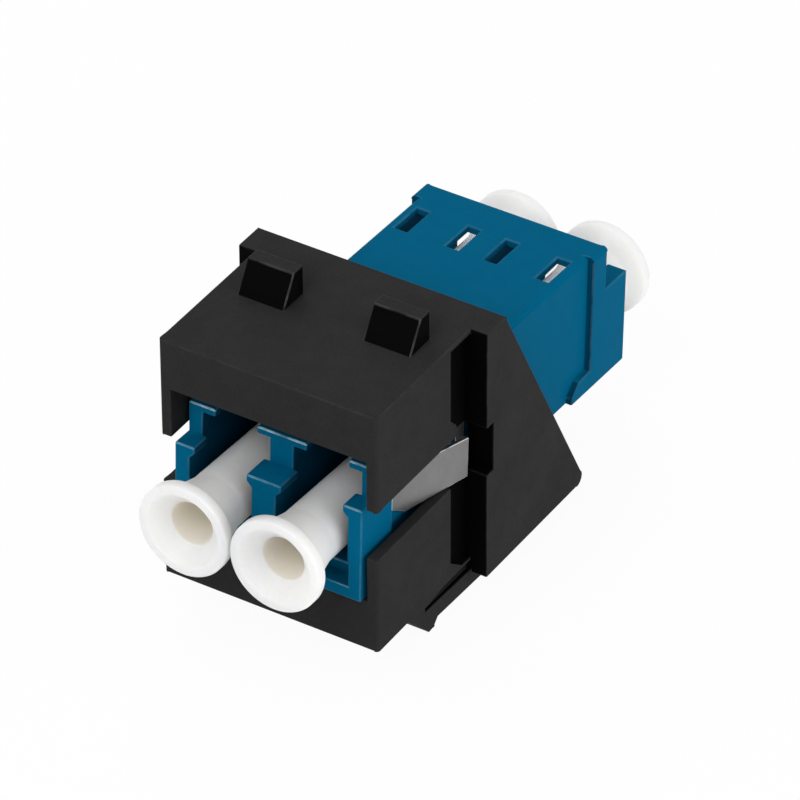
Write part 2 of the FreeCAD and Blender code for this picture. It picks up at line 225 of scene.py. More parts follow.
def new_group(name, inputs, outputs):
    """An empty shader node group with its sockets; inputs are (name, kind, default)."""
    tree = bpy.data.node_groups.new(name, "ShaderNodeTree")
    for socket_name, kind, default in inputs:
        socket = tree.interface.new_socket(socket_name, in_out="INPUT", socket_type=kind)
        if default is not None:
            socket.default_value = default
    for socket_name, kind in outputs:
        tree.interface.new_socket(socket_name, in_out="OUTPUT", socket_type=kind)
    source = tree.nodes.new("NodeGroupInput")
    sink = tree.nodes.new("NodeGroupOutput")
    return tree, source.outputs, sink.inputs


def node(tree, kind, values=(), **settings):
    """A node with its settings and its plain input values."""
    made = tree.nodes.new(kind)
    for name, value in settings.items():
        setattr(made, name, value)
    for name, value in dict(values).items():
        made.inputs[name].default_value = value
    return made


def math_node(tree, operation, first, second):
    """A Math node; each operand is a socket or a plain number."""
    made = tree.nodes.new("ShaderNodeMath")
    made.operation = operation
    for place, operand in enumerate((first, second)):
        if isinstance(operand, (int, float)):
            made.inputs[place].default_value = operand
        else:
            tree.links.new(operand, made.inputs[place])
    return made.outputs[0]


def remap(tree, value, low, high, to_low, to_high):
    """Value stretched from one range to another and kept inside it."""
    made = tree.nodes.new("ShaderNodeMapRange")
    made.inputs["From Min"].default_value = low
    made.inputs["From Max"].default_value = high
    made.inputs["To Min"].default_value = to_low
    made.inputs["To Max"].default_value = to_high
    tree.links.new(value, made.inputs["Value"])
    return made.outputs["Result"]


def noise(tree, vector, scale, detail=2.0, rough=0.5):
    """A Noise Texture on the given vector; scale is a socket or a number."""
    made = node(tree, "ShaderNodeTexNoise", {"Detail": detail, "Roughness": rough})
    tree.links.new(vector, made.inputs["Vector"])
    if isinstance(scale, (int, float)):
        made.inputs["Scale"].default_value = scale
    else:
        tree.links.new(scale, made.inputs["Scale"])
    return made.outputs["Fac"]


def moulded_grain_group():
    """Spark-eroded mould texture: a height, a mottled tone and a roughness shift."""
    name = "Moulded Grain"
    if name in bpy.data.node_groups:
        return bpy.data.node_groups[name]
    tree, given, out = new_group(
        name,
        [("Vector", "NodeSocketVector", None), ("Grain Size", "NodeSocketFloat", 0.0001)],
        [("Height", "NodeSocketFloat"), ("Tone", "NodeSocketFloat"),
         ("Gloss", "NodeSocketFloat")])
    scale = math_node(tree, "DIVIDE", 1.0, given["Grain Size"])
    fine = noise(tree, given["Vector"], scale, 3.0, 0.6)
    pits = node(tree, "ShaderNodeTexVoronoi", feature="SMOOTH_F1")
    tree.links.new(given["Vector"], pits.inputs["Vector"])
    tree.links.new(scale, pits.inputs["Scale"])
    height = math_node(tree, "ADD", math_node(tree, "MULTIPLY", fine, 0.65),
                       math_node(tree, "MULTIPLY", pits.outputs["Distance"], 0.5))
    tree.links.new(height, out["Height"])
    cloud = noise(tree, given["Vector"], math_node(tree, "MULTIPLY", scale, 0.11), 4.0, 0.62)
    speck = remap(tree, fine, 0.35, 0.68, -0.5, 0.5)
    tone = math_node(tree, "ADD", remap(tree, cloud, 0.3, 0.7, -0.5, 0.5), speck)
    tree.links.new(tone, out["Tone"])
    flow = noise(tree, given["Vector"], math_node(tree, "MULTIPLY", scale, 0.035), 2.0, 0.5)
    tree.links.new(remap(tree, flow, 0.3, 0.7, -0.06, 0.06), out["Gloss"])
    return tree


def tinted_group():
    """A base colour lifted or lowered by a tone, and changed to an edge colour by a mask."""
    name = "Tinted Plastic"
    if name in bpy.data.node_groups:
        return bpy.data.node_groups[name]
    tree, given, out = new_group(
        name,
        [("Base", "NodeSocketColor", (0.5, 0.5, 0.5, 1)),
         ("Edge", "NodeSocketColor", (0.8, 0.8, 0.8, 1)),
         ("Tone", "NodeSocketFloat", 0.0), ("Tone Amount", "NodeSocketFloat", 0.1),
         ("Mask", "NodeSocketFloat", 0.0)],
        [("Color", "NodeSocketColor")])
    lift = math_node(tree, "ADD", 1.0,
                     math_node(tree, "MULTIPLY", given["Tone"], given["Tone Amount"]))
    toned = node(tree, "ShaderNodeVectorMath", operation="SCALE")
    tree.links.new(given["Base"], toned.inputs["Vector"])
    tree.links.new(lift, toned.inputs["Scale"])
    mixed = node(tree, "ShaderNodeMix", data_type="RGBA")
    tree.links.new(given["Mask"], mixed.inputs["Factor"])
    tree.links.new(toned.outputs["Vector"], mixed.inputs["A"])
    tree.links.new(given["Edge"], mixed.inputs["B"])
    tree.links.new(mixed.outputs["Result"], out["Color"])
    return tree


def edge_wear_and_highlight_group():
    """The mask of the rounded edges, broken up a little, from the piece's edge attribute: rub
    and painted highlight.
    """
    name = "Worn Edges"
    if name in bpy.data.node_groups:
        return bpy.data.node_groups[name]
    tree, given, out = new_group(
        name,
        [("Vector", "NodeSocketVector", None), ("Patch Size", "NodeSocketFloat", 0.001),
         ("Strength", "NodeSocketFloat", 0.5)],
        [("Mask", "NodeSocketFloat")])
    rim = node(tree, "ShaderNodeAttribute", attribute_name="edge_wear_and_highlight")
    scale = math_node(tree, "DIVIDE", 1.0, given["Patch Size"])
    patches = remap(tree, noise(tree, given["Vector"], scale, 3.0, 0.6), 0.36, 0.6, 0.25, 1.0)
    mask = math_node(tree, "MULTIPLY", math_node(tree, "MULTIPLY", rim.outputs["Fac"], patches),
                     given["Strength"])
    tree.links.new(mask, out["Mask"])
    return tree


def rolled_steel_group():
    """Fine lines along one direction of a rolled strip: a height, a tone and a roughness."""
    name = "Rolled Lines"
    if name in bpy.data.node_groups:
        return bpy.data.node_groups[name]
    tree, given, out = new_group(
        name, [("Vector", "NodeSocketVector", None)],
        [("Height", "NodeSocketFloat"), ("Tone", "NodeSocketFloat"),
         ("Gloss", "NodeSocketFloat")])
    stretch = node(tree, "ShaderNodeMapping", {"Scale": (14000.0, 600.0, 14000.0)})
    tree.links.new(given["Vector"], stretch.inputs["Vector"])
    lines = noise(tree, stretch.outputs["Vector"], 1.0, 3.0, 0.6)
    tree.links.new(lines, out["Height"])
    stain = noise(tree, given["Vector"], 700.0, 3.0, 0.55)
    tone = math_node(tree, "ADD", remap(tree, lines, 0.3, 0.7, -0.5, 0.5),
                     remap(tree, stain, 0.3, 0.7, -0.4, 0.4))
    tree.links.new(tone, out["Tone"])
    tree.links.new(remap(tree, lines, 0.3, 0.7, -0.08, 0.08), out["Gloss"])
    return tree


# ---------------------------------------------------------------- materials

def blank_material(name):
    """A material with a Principled BSDF and Object coordinates."""
    made = bpy.data.materials.new(name)
    made.use_nodes = True
    tree = made.node_tree
    place = tree.nodes.new("ShaderNodeTexCoord").outputs["Object"]
    return made, tree, tree.nodes["Principled BSDF"], place


def bump(tree, shader, height, distance, strength=1.0):
    """Drives the shader's normal from a height; distance is in metres."""
    made = node(tree, "ShaderNodeBump", {"Strength": strength, "Distance": distance})
    tree.links.new(height, made.inputs["Height"])
    tree.links.new(made.outputs["Normal"], shader.inputs["Normal"])


def use_group(tree, group, place, values=()):
    """A node group in a material, fed with the place."""
    made = tree.nodes.new("ShaderNodeGroup")
    made.node_tree = group
    if "Vector" in made.inputs:
        tree.links.new(place, made.inputs["Vector"])
    for name, value in dict(values).items():
        made.inputs[name].default_value = value
    return made.outputs


def tint(tree, shader, base, edge, tone, amount, mask):
    """The shader's base colour from a base and an edge colour, a tone and a mask."""
    made = tree.nodes.new("ShaderNodeGroup")
    made.node_tree = tinted_group()
    made.inputs["Base"].default_value = base
    made.inputs["Edge"].default_value = edge
    made.inputs["Tone Amount"].default_value = amount
    tree.links.new(tone, made.inputs["Tone"])
    tree.links.new(mask, made.inputs["Mask"])
    tree.links.new(made.outputs["Color"], shader.inputs["Base Color"])
    return made.inputs


def moulded_plastic(name, look, tone_amount, edge_highlight_and_wear, specular):
    """Grained moulded plastic with rubbed edges carrying painted highlight, and painted shade
    on marked faces.
    """
    made, tree, shader, place = blank_material(name)
    grain = use_group(tree, moulded_grain_group(), place, {"Grain Size": look.grain_size})
    # The edge mask paints highlight and rub along the rounded edges.
    wear_and_highlight = use_group(tree, edge_wear_and_highlight_group(), place, {"Patch Size": 1.3 * MM,
                                                        "Strength": edge_highlight_and_wear})
    # Where the face attribute is set, painted shade replaces the plastic's own colour.
    core = node(tree, "ShaderNodeAttribute", attribute_name="painted_shade_faces")
    base = node(tree, "ShaderNodeMix", data_type="RGBA")
    base.inputs["A"].default_value = look.plastic
    base.inputs["B"].default_value = look.core
    tree.links.new(core.outputs["Fac"], base.inputs["Factor"])
    toned = tint(tree, shader, look.plastic, look.edge, grain["Tone"], tone_amount,
                 wear_and_highlight["Mask"])
    tree.links.new(base.outputs["Result"], toned["Base"])
    rough = math_node(tree, "ADD", grain["Gloss"], look.roughness)
    polish = math_node(tree, "MULTIPLY", wear_and_highlight["Mask"], 0.15)
    tree.links.new(math_node(tree, "SUBTRACT", rough, polish), shader.inputs["Roughness"])
    shader.inputs["Specular IOR Level"].default_value = specular
    bump(tree, shader, grain["Height"], look.grain_depth, 0.8)
    return made


def spring_steel(look):
    """Rolled spring steel with bright sheared edges carrying painted highlight."""
    made, tree, shader, place = blank_material("Spring Steel")
    lines = use_group(tree, rolled_steel_group(), place)
    wear_and_highlight = use_group(tree, edge_wear_and_highlight_group(), place, {"Patch Size": 0.8 * MM,
                                                        "Strength": 0.9})
    tint(tree, shader, look.steel, look.edge, lines["Tone"], 0.16, wear_and_highlight["Mask"])
    shader.inputs["Metallic"].default_value = 0.85
    tree.links.new(math_node(tree, "ADD", lines["Gloss"], look.roughness),
                   shader.inputs["Roughness"])
    bump(tree, shader, lines["Height"], 0.002 * MM, 0.6)
    return made


def soft_white_plastic(look):
    """Soft white plastic with painted shade down in the bore, warm where light passes through
    the plastic.
    """
    made, tree, shader, place = blank_material("Soft White Plastic")
    grain = use_group(tree, moulded_grain_group(), place, {"Grain Size": 0.35 * MM})
    # The bore_depth attribute is the share of painted shade in the bore.
    depth = node(tree, "ShaderNodeAttribute", attribute_name="bore_depth")
    tint(tree, shader, look.plastic, look.painted_bore_shade, grain["Tone"], 0.025, depth.outputs["Fac"])
    tree.links.new(math_node(tree, "ADD", grain["Gloss"], look.roughness),
                   shader.inputs["Roughness"])
    shader.inputs["Specular IOR Level"].default_value = 0.3
    shader.inputs["Subsurface Weight"].default_value = 0.9
    shader.inputs["Subsurface Radius"].default_value = (1.0, 0.9, 0.75)
    shader.inputs["Subsurface Scale"].default_value = 2.0 * MM
    bump(tree, shader, grain["Height"], 0.003 * MM, 0.5)
    return made


def fired_ceramic(look):
    """Ground white ceramic."""
    made, tree, shader, place = blank_material("Fired Ceramic")
    grain = use_group(tree, moulded_grain_group(), place, {"Grain Size": 0.05 * MM})
    tint(tree, shader, look.ceramic, look.ceramic, grain["Tone"], 0.03, grain["Tone"])
    tree.links.new(math_node(tree, "ADD", grain["Gloss"], look.roughness),
                   shader.inputs["Roughness"])
    bump(tree, shader, grain["Height"], 0.0008 * MM, 0.5)
    return made


# ---------------------------------------------------------------- meshes

def eased_copy(cad_node, name, edge_width, material, is_painted_shade=None, edge_highlight_share=None,
               carve=None):
    """A merged copy of a CAD node whose outer edges are rounded and marked for rub and painted
    highlight.

    Faces for which is_painted_shade(middle, normal) holds are marked for painted shade.
    edge_highlight_share(middle, normal) says how strongly an edge shows rub and painted
    highlight, from 0 to 1.
    carve(work) may cut the merged mesh before its edges are rounded.
    """
    work = bmesh.new()
    work.from_mesh(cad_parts[cad_node].data)
    bmesh.ops.remove_doubles(work, verts=work.verts, dist=MERGE_DISTANCE)
    bmesh.ops.dissolve_limit(work, angle_limit=FLAT_ANGLE, verts=work.verts,
                             edges=work.edges)
    if carve:
        carve(work)
    bmesh.ops.connect_verts_concave(work, faces=work.faces[:])
    # Per-face share of rub and painted highlight on the rounded edges.
    edge_highlight_and_wear = work.faces.layers.float.new("edge_wear_and_highlight")
    sharp = []
    for edge in work.edges:
        if len(edge.link_faces) != 2 or not edge.is_convex:
            continue
        if edge.calc_face_angle() > ROUNDED_ANGLE and edge.calc_length() > ROUNDED_LENGTH:
            sharp.append(edge)
    rounded = bmesh.ops.bevel(work, geom=sharp, offset=edge_width, offset_type="OFFSET",
                              segments=2, profile=0.5, affect="EDGES", clamp_overlap=False)
    for face in rounded["faces"]:
        face[edge_highlight_and_wear] = (edge_highlight_share(face.calc_center_median(), face.normal) if edge_highlight_share
                      else 1.0)
    # Faces picked by the test get painted shade.
    core = work.faces.layers.float.new("painted_shade_faces")
    for face in work.faces:
        face.smooth = True
        if is_painted_shade and is_painted_shade(face.calc_center_median(), face.normal):
            face[core] = 1.0
    mesh = bpy.data.meshes.new(name)
    work.to_mesh(mesh)
    work.free()
    mesh.set_sharp_from_angle(angle=CRISP_ANGLE)
    mesh.materials.append(material)
    piece = bpy.data.objects.new(name, mesh)
    bpy.context.collection.objects.link(piece)
    even = piece.modifiers.new("Even Shading", "WEIGHTED_NORMAL")
    even.keep_sharp = True
    return piece


def cap_node_tree():
    """A dust cap turned from its outline, with named sizes, its place and its direction."""
    name = "Turned Dust Cap"
    if name in bpy.data.node_groups:
        return bpy.data.node_groups[name]
    tree = bpy.data.node_groups.new(name, "GeometryNodeTree")
    sizes = ("Disc Radius", "Disc Thickness", "Neck Radius", "Cone Length", "Mouth Radius",
             "Mouth Depth", "Tip Radius", "Tip Chamfer", "Length", "Funnel Radius",
             "Funnel Depth", "Bore Radius", "Bore Depth", "Edge Round")
    tree.interface.new_socket("Geometry", in_out="INPUT", socket_type="NodeSocketGeometry")
    for size in sizes:
        socket = tree.interface.new_socket(size, in_out="INPUT", socket_type="NodeSocketFloat")
        socket.subtype = "DISTANCE"
    tree.interface.new_socket("Segments", in_out="INPUT", socket_type="NodeSocketInt")
    tree.interface.new_socket("Place", in_out="INPUT", socket_type="NodeSocketVector")
    tree.interface.new_socket("Direction", in_out="INPUT", socket_type="NodeSocketVector")
    tree.interface.new_socket("Material", in_out="INPUT", socket_type="NodeSocketMaterial")
    tree.interface.new_socket("Geometry", in_out="OUTPUT", socket_type="NodeSocketGeometry")
    given = tree.nodes.new("NodeGroupInput").outputs
    link = tree.links.new
    hairline = 0.001 * MM
    slack = 0.1 * MM
    shaded_depth = 2.5 * MM     # the bore reaches its full colour this far down

    def plus(first, second):
        return math_node(tree, "ADD", first, second)

    def minus(first, second):
        return math_node(tree, "SUBTRACT", first, second)

    rear_of_disc = given["Disc Thickness"]
    corners = [
        (hairline, given["Bore Depth"]), (given["Bore Radius"], given["Bore Depth"]),
        (given["Bore Radius"], given["Funnel Depth"]), (given["Funnel Radius"], 0.0),
        (given["Disc Radius"], 0.0), (given["Disc Radius"], rear_of_disc),
        (given["Neck Radius"], plus(rear_of_disc, given["Cone Length"])),
        (given["Mouth Radius"], given["Mouth Depth"]),
        (given["Tip Radius"], minus(given["Length"], given["Tip Chamfer"])),
        (minus(given["Tip Radius"], given["Tip Chamfer"]), given["Length"]),
        (hairline, given["Length"])]
    line = node(tree, "GeometryNodeMeshLine", {"Count": len(corners)})
    choose = node(tree, "GeometryNodeIndexSwitch", data_type="VECTOR")
    while len(choose.index_switch_items) < len(corners):
        choose.index_switch_items.new()
    link(node(tree, "GeometryNodeInputIndex").outputs[0], choose.inputs["Index"])
    for place, (radius, depth) in enumerate(corners):
        point = tree.nodes.new("ShaderNodeCombineXYZ")
        for axis, value in (("X", radius), ("Y", depth)):
            if isinstance(value, float):
                point.inputs[axis].default_value = value
            else:
                link(value, point.inputs[axis])
        link(point.outputs[0], choose.inputs[place + 1])
    curve = tree.nodes.new("GeometryNodeMeshToCurve")
    link(line.outputs["Mesh"], curve.inputs["Mesh"])
    outline = tree.nodes.new("GeometryNodeSetPosition")
    link(curve.outputs["Curve"], outline.inputs["Geometry"])
    link(choose.outputs[0], outline.inputs["Position"])
    soften = node(tree, "GeometryNodeFilletCurve", {"Count": 3, "Limit Radius": True},
                  mode="POLY")
    link(outline.outputs["Geometry"], soften.inputs["Curve"])
    link(given["Edge Round"], soften.inputs["Radius"])

    # How far down the bore a point of the outline lies, from 0 at its mouth to 1.
    where = tree.nodes.new("ShaderNodeSeparateXYZ")
    link(node(tree, "GeometryNodeInputPosition").outputs[0], where.inputs[0])
    depth = node(tree, "ShaderNodeMapRange", {"To Min": 0.25, "To Max": 1.0})
    link(where.outputs["Y"], depth.inputs["Value"])
    link(given["Funnel Depth"], depth.inputs["From Min"])
    link(plus(given["Funnel Depth"], shaded_depth), depth.inputs["From Max"])
    in_bore = math_node(tree, "LESS_THAN", where.outputs["X"],
                        plus(given["Bore Radius"], 0.02 * MM))
    before_end = math_node(tree, "LESS_THAN", where.outputs["Y"],
                           plus(given["Bore Depth"], slack))
    below_mouth = math_node(tree, "GREATER_THAN", where.outputs["Y"],
                            minus(given["Funnel Depth"], slack))
    mask = math_node(tree, "MULTIPLY", math_node(tree, "MULTIPLY", in_bore, before_end),
                     math_node(tree, "MULTIPLY", below_mouth, depth.outputs["Result"]))
    # The stored mask is painted shade in the bore, growing with depth, with a warm tint for
    # light through the plastic.
    mark = node(tree, "GeometryNodeStoreNamedAttribute", {"Name": "bore_depth"},
                data_type="FLOAT", domain="POINT")
    link(soften.outputs["Curve"], mark.inputs["Geometry"])
    link(mask, mark.inputs["Value"])

    # The outline is swept round a hair-thin circle, which turns it.
    circle = node(tree, "GeometryNodeCurvePrimitiveCircle", {"Radius": hairline})
    link(given["Segments"], circle.inputs["Resolution"])
    turned = tree.nodes.new("GeometryNodeCurveToMesh")
    link(circle.outputs["Curve"], turned.inputs["Curve"])
    link(mark.outputs["Geometry"], turned.inputs["Profile Curve"])
    welded = node(tree, "GeometryNodeMergeByDistance", {"Distance": 0.004 * MM})
    link(turned.outputs["Mesh"], welded.inputs["Geometry"])
    smooth = node(tree, "GeometryNodeSetShadeSmooth", domain="FACE")
    link(welded.outputs["Geometry"], smooth.inputs["Geometry"])
    aim = node(tree, "FunctionNodeAlignRotationToVector", axis="Z")
    # A swept outline's depth runs down the circle's axis, so that axis points back.
    back = node(tree, "ShaderNodeVectorMath", operation="SCALE")
    back.inputs["Scale"].default_value = -1.0
    link(given["Direction"], back.inputs["Vector"])
    link(back.outputs["Vector"], aim.inputs["Vector"])
    moved = tree.nodes.new("GeometryNodeTransform")
    link(smooth.outputs["Geometry"], moved.inputs["Geometry"])
    link(given["Place"], moved.inputs["Translation"])
    link(aim.outputs["Rotation"], moved.inputs["Rotation"])
    real = tree.nodes.new("GeometryNodeRealizeInstances")
    link(moved.outputs["Geometry"], real.inputs["Geometry"])
    finish = tree.nodes.new("GeometryNodeSetMaterial")
    link(real.outputs["Geometry"], finish.inputs["Geometry"])
    link(given["Material"], finish.inputs["Material"])
    sink = tree.nodes.new("NodeGroupOutput")
    link(finish.outputs["Geometry"], sink.inputs["Geometry"])
    return tree


def grown(name, tree, values):
    """A plain mesh object grown by a node tree, with its inputs set by name."""
    carrier = bpy.data.objects.new(name, bpy.data.meshes.new(name + "_seed"))
    bpy.context.collection.objects.link(carrier)
    grower = carrier.modifiers.new("Grower", "NODES")
    grower.node_group = tree
    for item in tree.interface.items_tree:
        if item.in_out == "INPUT" and item.name in values:
            grower[item.identifier] = values[item.name]
    ready = carrier.evaluated_get(bpy.context.evaluated_depsgraph_get())
    mesh = bpy.data.meshes.new_from_object(ready)
    mesh.name = name
    carrier.modifiers.remove(grower)
    seed = carrier.data
    carrier.data = mesh
    bpy.data.meshes.remove(seed)
    if not mesh.polygons:
        raise RuntimeError("the node tree made no faces for " + name)
    return carrier


def facing_out(mesh):
    """Turns the faces of a closed mesh outwards."""
    work = bmesh.new()
    work.from_mesh(mesh)
    bmesh.ops.recalc_face_normals(work, faces=work.faces)
    work.to_mesh(mesh)
    work.free()


def stands_for(piece, cad_node, body):
    """The piece replaces a CAD node and moves with its body."""
    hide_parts(cad_node)
    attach(piece, body)


# ---------------------------------------------------------------- which faces are which

def slope_groove_floors(work):
    """Lets the floor of each side groove fall towards the flange."""
    floors = []
    for face in work.faces:
        middle = face.calc_center_median()
        if (face.normal.z > 0.99 and 7.0 * MM < abs(middle.x) < 7.4 * MM
                and -1.2 * MM < middle.y < -0.9 * MM and middle.z < housing_low.z + 5.0 * MM):
            floors.append(face)
    if len(floors) != 2:
        raise RuntimeError("the groove floors were not found")
    for floor in floors:
        runs = [edge for edge in floor.edges
                if abs(edge.verts[0].co.y - edge.verts[1].co.y) > 1.0 * MM]
        rear = [vert for vert in floor.verts if vert.co.y > -0.01 * MM]
        split = []
        for edge in runs:
            start = min(edge.verts, key=lambda vert: vert.co.y)
            reach = edge.calc_length()
            split.append(bmesh.utils.edge_split(edge, start, (reach - SLOPE_LENGTH) / reach)[1])
        bmesh.utils.face_split(floor, split[0], split[1])
        for vert in rear + split:
            vert.co.z -= SLOPE_FALL


def in_painted_shade(middle, normal):
    """Whether a housing face gets painted shade: a tooth's steep side, or a face in a side
    groove or the slit.
    """
    across = abs(middle.x)
    on_tooth = middle.z > TOOTH_SIDE_BASE and normal.z < 0.8 and across < 6.5 * MM
    in_height = housing_low.z + 1.5 * MM < middle.z < housing_high.z - 2.0 * MM
    beside_flange = -2.2 * MM < middle.y < 0.8 * MM and across > 6.5 * MM and in_height
    in_groove = beside_flange and (across < 7.38 * MM or abs(normal.x) < 0.7)
    in_slit = (middle.y > -4.7 * MM and across < 7.1 * MM
               and SLIT_FLOOR < middle.z < SLIT_ROOF)
    return on_tooth or in_groove or in_slit


def housing_highlight_share(middle, normal):
    """Painted highlight on the teeth's front edges, brightest on the right front edge; the
    other edges get only a faint rub and painted highlight.
    """
    if middle.z <= TOOTH_BASE or normal.y > -0.2:
        return 0.15
    return 1.0 if normal.x > 0.3 else 0.45


def front_half_highlight_share(middle, normal):
    """The front roof bars' upper edges get a bright painted highlight; the guide frame's are
    paler than the rest.
    """
    if middle.y > GUIDE_FRAME_END or normal.z < 0.3 or normal.y > -0.3:
        return BLUE_EDGE_HIGHLIGHT
    return 1.0 if middle.z > ROOF_BAR_BASE else 0.35


def inside_port(middle, normal):
    """Whether a face of the front half is one of the ports' side walls, which get painted
    shade.
    """
    return (abs(normal.x) > 0.7 and abs(middle.x) < 5.6 * MM
            and middle.y > PORT_MOUTH_END)


def pad_step(middle, normal):
    """Whether a face of the rear half is the step in front of a side pad, which gets painted
    shade.
    """
    return normal.y < -0.3 and abs(middle.x) > 5.9 * MM


# ---------------------------------------------------------------- operators for the pieces

class FIBRE_OT_housing(bpy.types.Operator):
    """Builds the black snap-in housing with its latch arm, hook and flange"""
    bl_idname = "fibre_adapter.housing"
    bl_label = "Build Housing"

    def execute(self, context):
        look = context.scene.fibre_housing
        plastic = moulded_plastic("Black Moulded Plastic", look, 0.16, 0.65, 0.02)
        piece = eased_copy("snap_in_housing", "housing_moulding", look.edge_width, plastic,
                           in_painted_shade, housing_highlight_share, slope_groove_floors)
        stands_for(piece, "snap_in_housing", "adapter")
        return {"FINISHED"}


class FIBRE_OT_adapter(bpy.types.Operator):
    """Builds the two blue halves of the adapter"""
    bl_idname = "fibre_adapter.adapter"
    bl_label = "Build Adapter Halves"

    def execute(self, context):
        look = context.scene.fibre_adapter
        plastic = moulded_plastic("Blue Moulded Plastic", look, 0.07, 0.9, 0.005)
        # Each half has a test for the faces that get painted shade and a share of painted edge
        # highlight.
        for end, painted_shade_test, edge_highlight_share in (
                ("front", inside_port, front_half_highlight_share),
                ("rear", pad_step, lambda middle, normal: BLUE_EDGE_HIGHLIGHT)):
            cad_node = "adapter_%s_half" % end
            piece = eased_copy(cad_node, end + "_half_moulding", look.edge_width, plastic,
                               painted_shade_test, edge_highlight_share)
            stands_for(piece, cad_node, "adapter")
        return {"FINISHED"}


class FIBRE_OT_clip(bpy.types.Operator):
    """Builds the spring clip with its two wings"""
    bl_idname = "fibre_adapter.clip"
    bl_label = "Build Spring Clip"

    def execute(self, context):
        look = context.scene.fibre_clip
        piece = eased_copy("spring_clip", "clip_strip", look.edge_width, spring_steel(look))
        stands_for(piece, "spring_clip", "adapter")
        return {"FINISHED"}


class FIBRE_OT_sleeves(bpy.types.Operator):
    """Gives the two split sleeves their ceramic"""
    bl_idname = "fibre_adapter.sleeves"
    bl_label = "Finish Split Sleeves"

    def execute(self, context):
        ceramic = fired_ceramic(context.scene.fibre_sleeve)
        for side in ("left", "right"):
            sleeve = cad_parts["split_sleeve_" + side]
            if not sleeve.material_slots:
                sleeve.data.materials.append(ceramic)
            for slot in sleeve.material_slots:
                slot.material = ceramic
        return {"FINISHED"}


class FIBRE_OT_caps(bpy.types.Operator):
    """Builds the four dust caps, each on its own body"""
    bl_idname = "fibre_adapter.caps"
    bl_label = "Build Dust Caps"

    def execute(self, context):
        look = context.scene.fibre_cap
        plastic = soft_white_plastic(look)
        tree = cap_node_tree()
        sizes = {
            "Disc Radius": look.disc_radius, "Disc Thickness": look.disc_thickness,
            "Neck Radius": look.neck_radius, "Cone Length": look.cone_length,
            "Mouth Radius": look.mouth_radius, "Mouth Depth": look.mouth_depth,
            "Tip Radius": look.tip_radius, "Tip Chamfer": look.tip_chamfer,
            "Length": look.whole_length, "Funnel Radius": look.funnel_radius,
            "Funnel Depth": look.funnel_depth, "Bore Radius": look.bore_radius,
            "Bore Depth": look.bore_depth, "Edge Round": look.edge_round,
            "Segments": look.segments, "Material": plastic}
        lean, upright = math.sin(look.tilt), math.cos(look.tilt)
        for end, way in (("front", 1), ("rear", -1)):
            for side in ("left", "right"):
                cad_node = "%s_dust_cap_%s" % (end, side)
                low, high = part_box(cad_node)
                middle = (low.x + high.x) / 2
                if way > 0:
                    face = (middle, low.y + look.disc_radius * lean,
                            high.z - look.disc_radius * upright)
                else:
                    face = (middle, high.y - look.disc_radius * lean,
                            low.z + look.disc_radius * upright)
                piece = grown("%s_cap_%s_moulding" % (end, side), tree, {
                    **sizes, "Place": face, "Direction": (0.0, way * upright, -way * lean)})
                facing_out(piece.data)
                piece.data.set_sharp_from_angle(angle=CAP_CRISP_ANGLE)
                stands_for(piece, cad_node, "%s_%s_cap" % (end, side))
        return {"FINISHED"}


# ---------------------------------------------------------------- stage

def seen_directly(tree):
    """1 where the camera, a reflection or a refraction looks, 0 for all other light."""
    ray = tree.nodes.new("ShaderNodeLightPath").outputs
    return math_node(tree, "MAXIMUM", ray["Is Camera Ray"],
                     math_node(tree, "MAXIMUM", ray["Is Glossy Ray"],
                               ray["Is Transmission Ray"]))


def stage_material(look):
    """A pale matt floor that shows nearly white to the camera and to reflections."""
    made, tree, shader, place = blank_material("Pale Floor")
    cloud = noise(tree, place, 9.0, 2.0)
    tone = node(tree, "ShaderNodeMix", data_type="RGBA")
    tree.links.new(remap(tree, cloud, 0.3, 0.7, 0.0, 0.02), tone.inputs["Factor"])
    tone.inputs["A"].default_value = look.floor
    tone.inputs["B"].default_value = (1.0, 1.0, 1.0, 1.0)
    tree.links.new(tone.outputs["Result"], shader.inputs["Base Color"])
    shader.inputs["Roughness"].default_value = 0.9
    shader.inputs["Specular IOR Level"].default_value = 0.0
    white = node(tree, "ShaderNodeEmission", {"Color": (1, 1, 1, 1), "Strength": 1.0})
    mixed = tree.nodes.new("ShaderNodeMixShader")
    tree.links.new(math_node(tree, "MULTIPLY", seen_directly(tree), look.white_mix),
                   mixed.inputs[0])
    tree.links.new(shader.outputs[0], mixed.inputs[1])
    tree.links.new(white.outputs[0], mixed.inputs[2])
    tree.links.new(mixed.outputs[0], tree.nodes["Material Output"].inputs["Surface"])
    return made


def studio_world(look):
    """Even pale light all round, white where the camera or a reflection sees it."""
    world = bpy.data.worlds.new("Studio")
    world.use_nodes = True
    tree = world.node_tree
    background = tree.nodes["Background"]
    background.inputs["Color"].default_value = (1.0, 1.0, 1.0, 1.0)
    strength = remap(tree, seen_directly(tree), 0.0, 1.0, look.ambient, 1.0)
    tree.links.new(strength, background.inputs["Strength"])
    return world


def lamp(name, target, place_and_width, power):
    """A square soft lamp at its offset from a target, pointing at it."""
    offset, width = place_and_width
    place = target + Vector(offset)
    data = bpy.data.lights.new(name, "AREA")
    data.energy = power
    data.shape = "SQUARE"
    data.size = width
    made = bpy.data.objects.new(name, data)
    bpy.context.collection.objects.link(made)
    made.location = place
    made.rotation_mode = "QUATERNION"
    made.rotation_quaternion = (target - place).to_track_quat("-Z", "Y")
    return made


